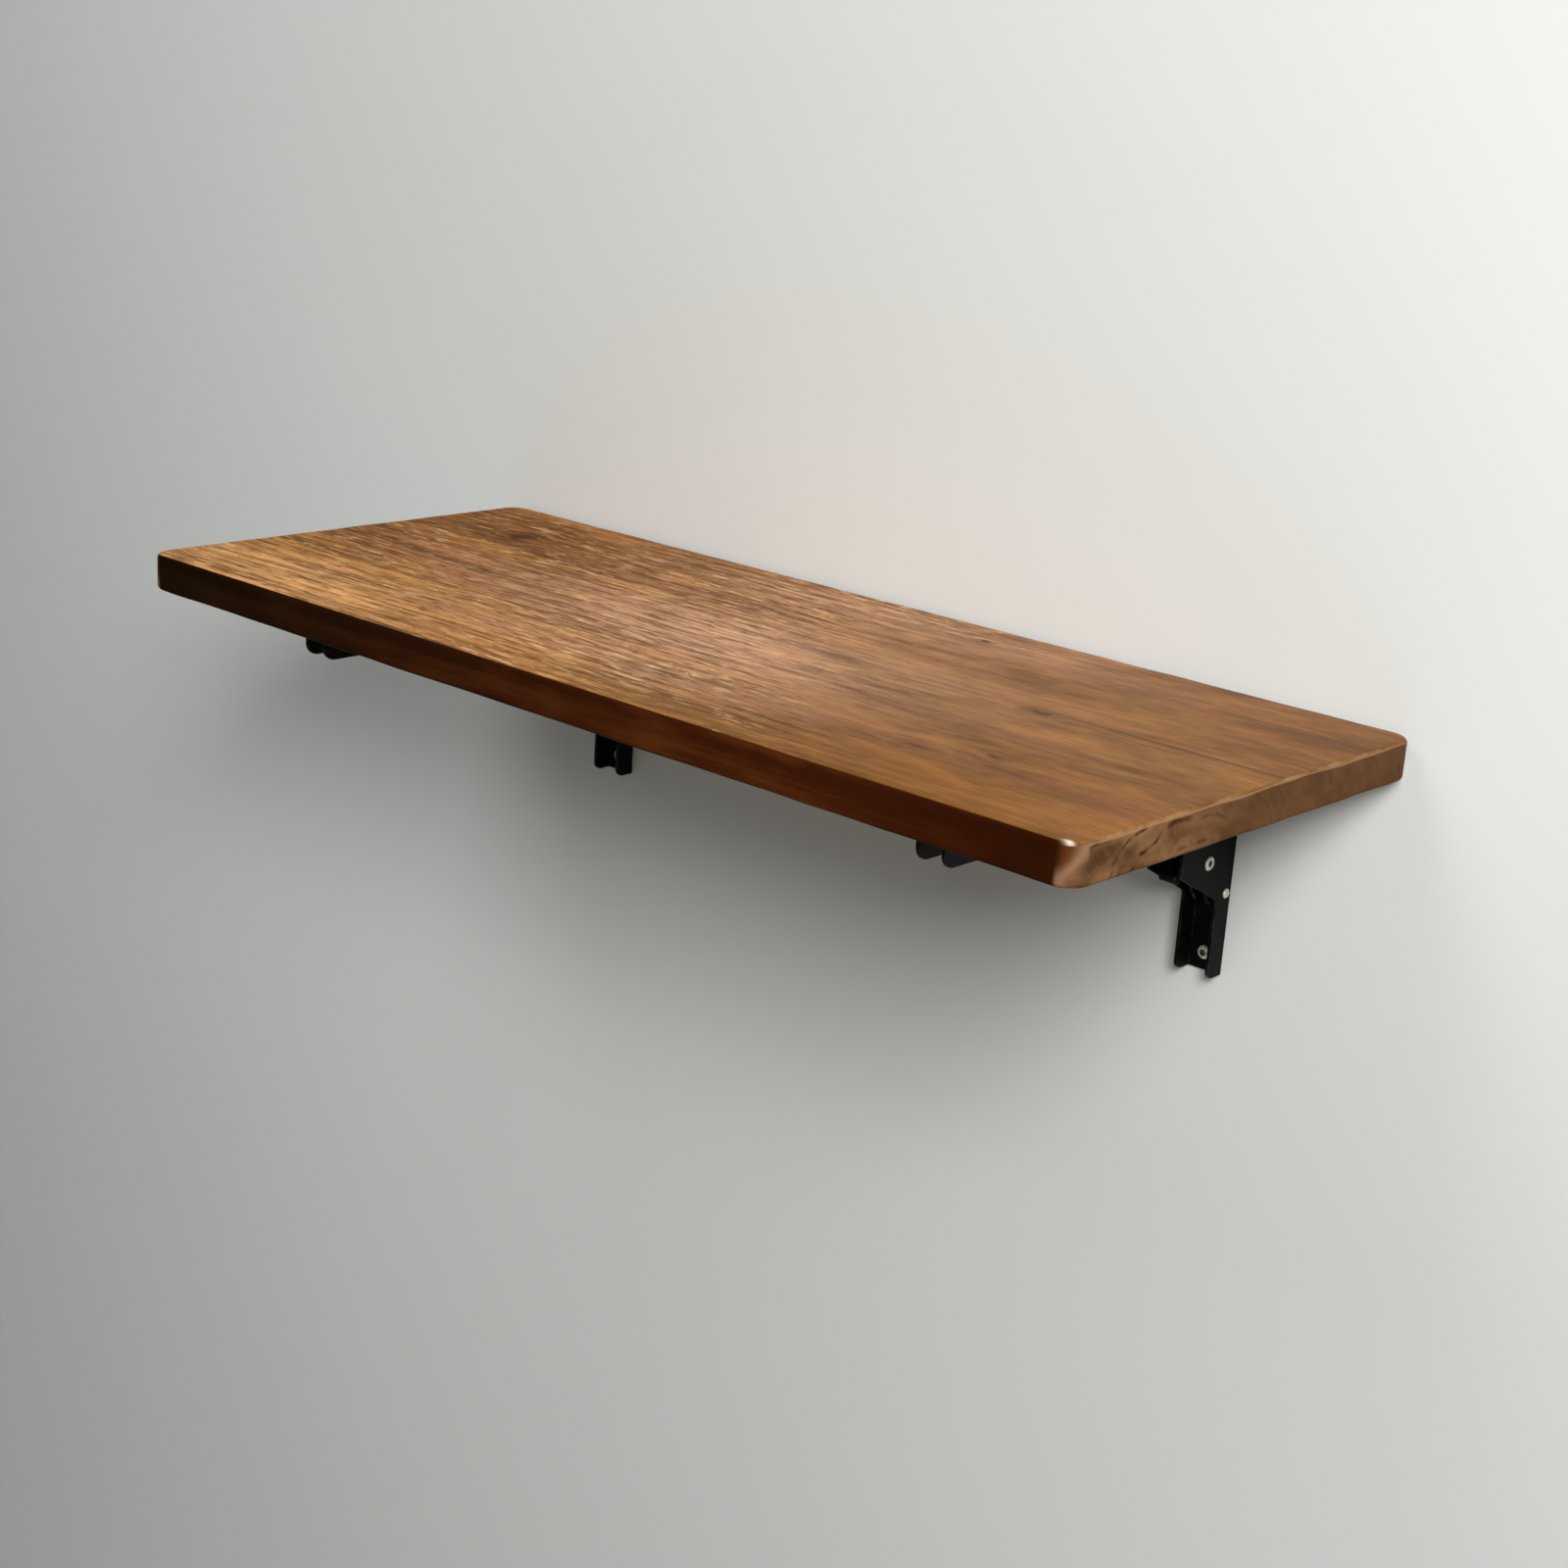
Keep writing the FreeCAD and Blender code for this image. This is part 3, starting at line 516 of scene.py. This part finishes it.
def wood_look():
    n = Nodes("stained_wood_grain")
    coordinates = n.add("ShaderNodeTexCoord").outputs
    x, y, z = n.split(coordinates["Object"])
    face_x, face_y, face_z = n.split(coordinates["Normal"])

    bent, knot_dark = bend_round_knots(n, x, y)
    sway = n.minus(n.figure(SWAY, x, y, z), NOISE_MEAN)
    grain_y = n.plus(bent, n.times(sway, SWAY_REACH))
    streak = n.figure(STREAK, x, grain_y, z)
    ripple = n.figure(RIPPLE, x, grain_y, z)
    brushed = n.minus(1.0, n.step(n.plus(x, n.times(sway, BRUSH_DRIFT)), SMOOTHING))

    top = top_colour(n, x, y, z, grain_y, streak, ripple, brushed, knot_dark)
    seam = n.minus(1.0, n.step(n.size(n.minus(bent, GLUE_LINE_Y)), GLUE_LINE_ACROSS))
    seam = n.times(seam, n.step(x, GLUE_LINE_ALONG))
    top = n.mix(n.times(seam, GLUE_LINE_STRENGTH), top, GLUE_LINE_BROWN)

    sideways = n.size(face_x)
    # Long edges in painted shade and painted reflection, with a painted red glow on their rounded upright
    # corners
    front = n.mix(n.step(sideways, TURNING), front_colour(n, x, z, streak), CORNER_GLOW_PAINTED)
    colour = n.mix(n.step(n.size(face_y), ON_FRONT), top, front)
    colour = n.mix(n.step(sideways, ON_END), colour, end_colour(n, x, y, z))
    colour = n.mix(worn_corner(n, z, face_x), colour, BARE_WOOD)
    # Pale rim along the top edge of the ends: wear, and a painted highlight
    rim = n.step(n.times(sideways, face_z), RIM_STEP)
    rubbed_and_lit = n.step(n.figure(RUB, x, y, z), RUB_STEP)
    colour = n.mix(n.times(rim, rubbed_and_lit), colour, RUB_AND_HIGHLIGHT_COLOUR)
    # Painted highlight: a small pale spot at the front right corner of the top
    painted_highlight = n.times(closeness(n, x, y, PAINTED_HIGHLIGHT_SPOT, PAINTED_HIGHLIGHT_SPOT.along, PAINTED_HIGHLIGHT_SPOT.across), n.step(face_z, PAINTED_HIGHLIGHT_FACING_UP))
    colour = n.mix(n.times(painted_highlight, PAINTED_HIGHLIGHT_SPOT.strength), colour, PAINTED_HIGHLIGHT_SPOT.colour)

    relief = n.added(
        n.times(n.times(ripple, brushed), RELIEF_BRUSHED),
        n.times(streak, RELIEF_STREAK),
        n.times(ripple, RELIEF_RIPPLE),
        n.times(seam, RELIEF_SEAM),
        n.times(knot_dark, RELIEF_KNOT),
    )
    n.shade(
        Base_Color=colour,
        Roughness=n.linear(streak, WOOD_ROUGHNESS_STREAK, WOOD_ROUGHNESS),
        Specular_IOR_Level=WOOD_SPECULAR,
        Normal=n.bump(relief, RELIEF_STRENGTH, RELIEF_DEPTH),
    )
    return n.material


def powder_coat_look(coat):
    """Black powder coat: fine orange peel, dusty patches, and edges that wear towards bare metal, whose pale
    rim is also a painted highlight along them.
    """
    n = Nodes(coat.name)
    place = n.add("ShaderNodeTexCoord").outputs["Object"]
    peel = n.noise(place, PEEL_SCALE, PEEL_DETAIL)
    dust = n.noise(place, DUST_SCALE, DUST_DETAIL)
    rounded = n.add("ShaderNodeBevel", {"Radius": COAT_EDGE_RADIUS}, samples=COAT_EDGE_SAMPLES).outputs[0]
    flat = n.add("ShaderNodeNewGeometry").outputs["Normal"]
    turn = n.add("ShaderNodeVectorMath", {0: rounded, 1: flat}, operation="DOT_PRODUCT").outputs["Value"]
    # Pale edges: wear towards bare metal, and a painted highlight along the edges
    edge = n.minus(1.0, n.step(turn, COAT_EDGE_STEP))
    worn_and_lit = n.times(edge, n.step(n.noise(place, COAT_WEAR_SCALE, COAT_WEAR_DETAIL), COAT_WEAR_STEP))
    bare = n.times(worn_and_lit, coat.rub)
    dusty = tuple(part * DUST_LIFT for part in coat.colour)
    paint = n.mix(n.step(dust, DUST_STEP), coat.colour, dusty)
    n.shade(
        Base_Color=n.mix(bare, paint, coat.rub_colour),
        Metallic=bare,
        Roughness=n.linear(dust, COAT_ROUGHNESS_DUST, COAT_ROUGHNESS),
        Specular_IOR_Level=COAT_SPECULAR,
        Normal=n.bump(peel, PEEL_STRENGTH, PEEL_DEPTH, rounded),
    )
    return n.material


def plated_look(plate):
    """Plated metal: clouded sheen, fine scratches, a darker film in patches and painted shade in the
    recesses.
    """
    n = Nodes(plate.name)
    place = n.add("ShaderNodeTexCoord").outputs["Object"]
    sheen = n.noise(place, SHEEN_SCALE, SHEEN_DETAIL)
    scratch = n.noise(place, SCRATCH_SCALE, SCRATCH_DETAIL)
    film = n.step(n.noise(place, FILM_SCALE, FILM_DETAIL), FILM_STEP)
    rounded = n.add("ShaderNodeBevel", {"Radius": PLATE_EDGE_RADIUS}, samples=PLATE_EDGE_SAMPLES).outputs[0]
    # Painted shade in the recesses, found by ambient occlusion
    reach = {"Distance": RECESS_SHADE_REACH}
    openness = n.add("ShaderNodeAmbientOcclusion", reach, samples=RECESS_SHADE_SAMPLES, only_local=True)
    open_to_light = n.step(openness.outputs["AO"], RECESS_SHADE_STEP)
    metal = n.mix(film, plate.pale, plate.dull)
    n.shade(
        Base_Color=n.mix(n.minus(1.0, open_to_light), metal, RECESS_SHADE_COLOUR),
        Metallic=n.times(open_to_light, PLATE_METALLIC),
        Roughness=n.linear(sheen, SHEEN_ROUGHNESS, plate.roughness),
        Normal=n.bump(scratch, SCRATCH_STRENGTH, SCRATCH_DEPTH, rounded),
    )
    return n.material


# Shapes


def show(name, data):
    """A new object in the scene that shows a mesh, lamp or camera."""
    made = bpy.data.objects.new(name, data)
    bpy.context.scene.collection.objects.link(made)
    return made


def outline(low, high):
    """The board's plan outline, anticlockwise, as (place, outward direction) pairs."""
    left, right = low.x + CORNER_RADIUS, high.x - CORNER_RADIUS
    front, back = low.y + CORNER_RADIUS, high.y - CORNER_RADIUS
    centres = [Vector(spot) for spot in ((right, front), (right, back), (left, back), (left, front))]
    points = []
    for index, centre in enumerate(centres):
        for step in range(CORNER_STEPS + 1):
            angle = math.radians(90 * (index - 1 + step / CORNER_STEPS))
            outward = Vector((math.cos(angle), math.sin(angle)))
            points.append((centre + CORNER_RADIUS * outward, outward))
        run = centres[(index + 1) % len(centres)] - centre
        steps = round(run.length / EDGE_STEP)
        for step in range(1, steps):
            points.append((centre + run * step / steps + CORNER_RADIUS * outward, outward))
    return points


def wave(place, height, pace, seed):
    """Smooth noise from 0 to 1 along the board's edge."""
    return 0.5 + 0.5 * noise.noise(Vector((place.x * pace, place.y * pace, height * pace + seed)))


def make_board(look):
    """The board with hand-eased edges: their round swells and thins, and the sides are not dead flat."""
    low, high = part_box("tabletop")
    plan = outline(low, high)
    mesh = bmesh.new()
    rings = []

    def add_ring(inset_of, height_of):
        ring = []
        for place, outward in plan:
            spot = place - outward * inset_of(place)
            ring.append(mesh.verts.new((spot.x, spot.y, height_of(place))))
        rings.append(ring)

    def ease(place, seed):
        return EASE_RADIUS * (1 + EASE_SPREAD * (2 * wave(place, 0, EASE_WAVE, seed) - 1))

    def dent(place, height):
        return SIDE_WOBBLE * wave(place, height, SIDE_WAVE, SIDE_SEED)

    def add_eased_edge(level, direction, seed, turning_out):
        for step in range(EASE_STEPS + 1):
            share = step / EASE_STEPS if turning_out else 1 - step / EASE_STEPS
            outwards = math.sin(share * math.pi / 2)
            upright = 1 - math.cos(share * math.pi / 2)
            add_ring(
                lambda place: ease(place, seed) * (1 - outwards) + dent(place, level) * outwards,
                lambda place: level + direction * ease(place, seed) * upright,
            )

    add_ring(lambda place: ease(place, EASE_TOP_SEED) + SUPPORT_INSET, lambda place: high.z)
    add_eased_edge(high.z, -1, EASE_TOP_SEED, True)
    for row in range(1, SIDE_RINGS + 1):
        level = high.z + (low.z - high.z) * row / (SIDE_RINGS + 1)
        add_ring(lambda place: dent(place, level), lambda place: level)
    add_eased_edge(low.z, 1, EASE_FOOT_SEED, False)
    add_ring(lambda place: ease(place, EASE_FOOT_SEED) + SUPPORT_INSET, lambda place: low.z)

    count = len(plan)
    for upper, lower in zip(rings, rings[1:]):
        for i in range(count):
            mesh.faces.new((upper[i], lower[i], lower[(i + 1) % count], upper[(i + 1) % count]))
    mesh.faces.new(rings[0])
    mesh.faces.new(reversed(rings[-1]))
    bmesh.ops.recalc_face_normals(mesh, faces=mesh.faces)
    for face in mesh.faces:
        face.smooth = True
    data = bpy.data.meshes.new("tabletop_board")
    mesh.to_mesh(data)
    mesh.free()
    data.materials.append(look)
    board = show("tabletop_board", data)
    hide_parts("tabletop")
    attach(board, "leaf")


def dress_nodes(frame):
    """Gives each packed metal node the look of its material slot."""
    looks = {slot: powder_coat_look(coat) for slot, coat in COATS.items()}
    looks |= {slot: plated_look(plate) for slot, plate in PLATES.items()}
    for entry in frame["record"]["subparts"]:
        look = looks.get(entry["material_slot"])
        if look is None:
            continue
        data = frame["nodes"][entry["node"]].data
        data.materials.clear()
        data.materials.append(look)


def make_springs(frame):
    """Torsion springs between the wall frame and the lever that each one presses, copied from the packed
    nodes as they stand.
    """
    for side in ("left", "right"):
        node = f"{side}_lever_spring"
        data = frame["nodes"][node].data.copy()
        data.name = f"{side}_spring_wire"
        spring = show(data.name, data)
        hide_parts(node)
        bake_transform(spring)


# Stage


def one_way_look(name, colour, glow=0.0):
    """A plain pale surface, paler to the camera by glow, that lets a camera behind it see through."""
    n = Nodes(name)
    behind = n.add("ShaderNodeNewGeometry").outputs["Backfacing"]
    seen = n.add("ShaderNodeLightPath").outputs["Is Camera Ray"]
    n.shade(
        Base_Color=colour,
        Roughness=STAGE_ROUGHNESS,
        Emission_Color=colour,
        Emission_Strength=n.times(seen, glow),
    )
    clear = n.add("ShaderNodeBsdfTransparent").outputs[0]
    inputs = {0: n.times(behind, seen), 1: n.shader.outputs[0], 2: clear}
    n.feed(n.output.inputs["Surface"], n.add("ShaderNodeMixShader", inputs).outputs[0])
    return n.material


def make_sheet(name, corners, look):
    data = bpy.data.meshes.new(name)
    data.from_pydata(corners, [], [range(len(corners))])
    data.materials.append(look)
    sheet = show(name, data)
    return sheet


def make_stage():
    """A wall that blocks no lamp's light, and a floor."""
    right = WALL_WIDTH / 2
    left = -right
    back = WALL_BEHIND
    front = back - FLOOR_DEPTH
    wall = ((left, back, FLOOR_Z), (right, back, FLOOR_Z), (right, back, WALL_TOP), (left, back, WALL_TOP))
    floor = ((left, front, FLOOR_Z), (right, front, FLOOR_Z), (right, back, FLOOR_Z), (left, back, FLOOR_Z))
    make_sheet("stage_wall", wall, one_way_look("pale_wall", WALL_COLOUR)).visible_shadow = False
    make_sheet("stage_floor", floor, one_way_look("pale_floor", FLOOR_COLOUR, FLOOR_GLOW))


def add_lamp(lamp):
    data = bpy.data.lights.new(lamp.name, "AREA")
    data.size = lamp.size
    data.energy = lamp.energy
    made = show(lamp.name, data)
    made.location = lamp.place
    aim = Vector(lamp.target) - Vector(lamp.place)
    made.rotation_euler = aim.to_track_quat("-Z", "Y").to_euler()


def light_stage():
    for lamp in LAMPS:
        add_lamp(lamp)
    world = bpy.data.worlds.new("pale_world")
    world.use_nodes = True
    tree = world.node_tree
    background = tree.nodes["Background"]
    background.inputs["Color"].default_value = (*WORLD_COLOUR, 1.0)
    path = tree.nodes.new("ShaderNodeLightPath")
    seen = tree.nodes.new("ShaderNodeMath")
    seen.operation = "MAXIMUM"
    tree.links.new(path.outputs["Is Camera Ray"], seen.inputs[0])
    tree.links.new(path.outputs["Is Glossy Ray"], seen.inputs[1])
    level = tree.nodes.new("ShaderNodeMapRange")
    level.inputs["To Min"].default_value = WORLD_LIGHT
    level.inputs["To Max"].default_value = WORLD_SEEN
    tree.links.new(seen.outputs[0], level.inputs["Value"])
    tree.links.new(level.outputs[0], background.inputs["Strength"])
    bpy.context.scene.world = world


def add_camera():
    back = Vector((
        math.sin(CAMERA_AZIMUTH) * math.cos(CAMERA_ELEVATION),
        -math.cos(CAMERA_AZIMUTH) * math.cos(CAMERA_ELEVATION),
        math.sin(CAMERA_ELEVATION),
    ))
    level = Vector((math.cos(CAMERA_AZIMUTH), math.sin(CAMERA_AZIMUTH), 0.0))
    upright = back.cross(level)
    right = math.cos(CAMERA_ROLL) * level + math.sin(CAMERA_ROLL) * upright
    up = math.cos(CAMERA_ROLL) * upright - math.sin(CAMERA_ROLL) * level
    data = bpy.data.cameras.new("photo_camera")
    data.lens = CAMERA_LENS
    data.sensor_width = CAMERA_SENSOR
    camera = show("photo_camera", data)
    turn = Matrix((right, up, back)).transposed()
    camera.matrix_world = Matrix.Translation(CAMERA_PLACE) @ turn.to_4x4()
    bpy.context.scene.camera = camera


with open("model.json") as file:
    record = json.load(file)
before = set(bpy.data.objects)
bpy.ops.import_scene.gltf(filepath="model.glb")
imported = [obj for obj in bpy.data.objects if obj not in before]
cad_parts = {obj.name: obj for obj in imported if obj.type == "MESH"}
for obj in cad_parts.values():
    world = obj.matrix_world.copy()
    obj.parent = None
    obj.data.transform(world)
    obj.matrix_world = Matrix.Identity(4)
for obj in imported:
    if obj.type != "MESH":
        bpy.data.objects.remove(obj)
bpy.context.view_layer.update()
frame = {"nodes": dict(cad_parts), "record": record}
make_board(wood_look())
dress_nodes(frame)
make_springs(frame)
make_stage()
light_stage()
add_camera()
bpy.context.scene.view_settings.view_transform = "Standard"
